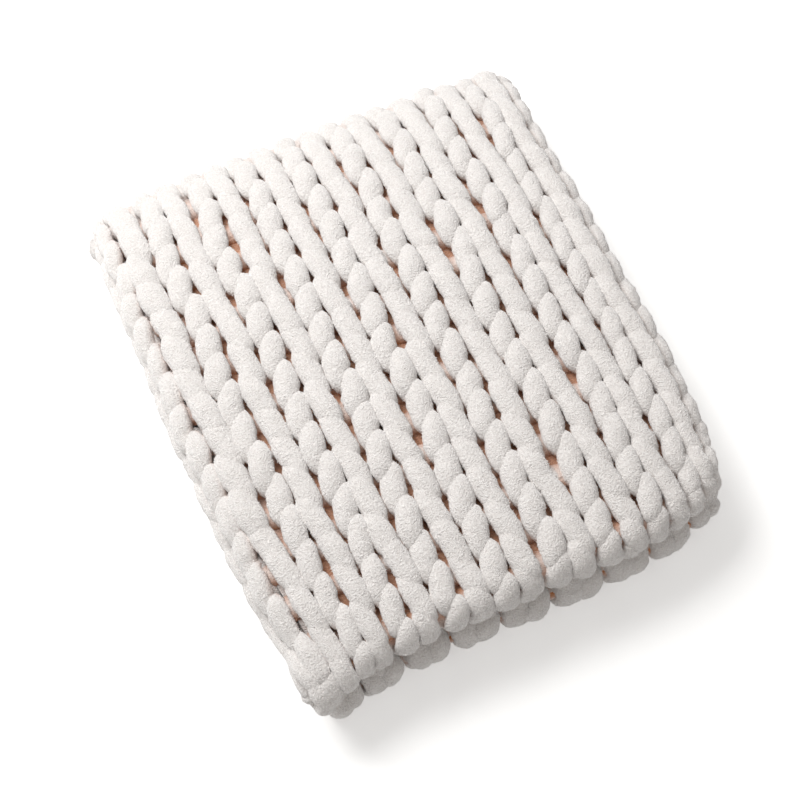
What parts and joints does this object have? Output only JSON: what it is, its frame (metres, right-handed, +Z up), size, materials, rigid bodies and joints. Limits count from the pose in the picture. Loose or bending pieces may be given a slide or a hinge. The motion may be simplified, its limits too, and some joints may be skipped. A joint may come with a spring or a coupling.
{
  "type": "folded chenille throw blanket",
  "caption": "Folded throw blanket knitted in jumbo chenille yarn, a soft crowned pad of cloth layers with raised V stitches.",
  "frame": {"origin": "centre of the pad's underside, on the surface that it rests on", "axes": "+Z up; X across the columns of stitches; Y along them, with the two near folds at -Y and the top layer's free end at +Y"},
  "size_m": [0.4548, 0.545, 0.0967],
  "materials": {
    "cream_chenille": "soft matt pile"
  },
  "bodies": {
    "root": {"throw_cloth": "cream_chenille"}
  },
  "joints": []
}
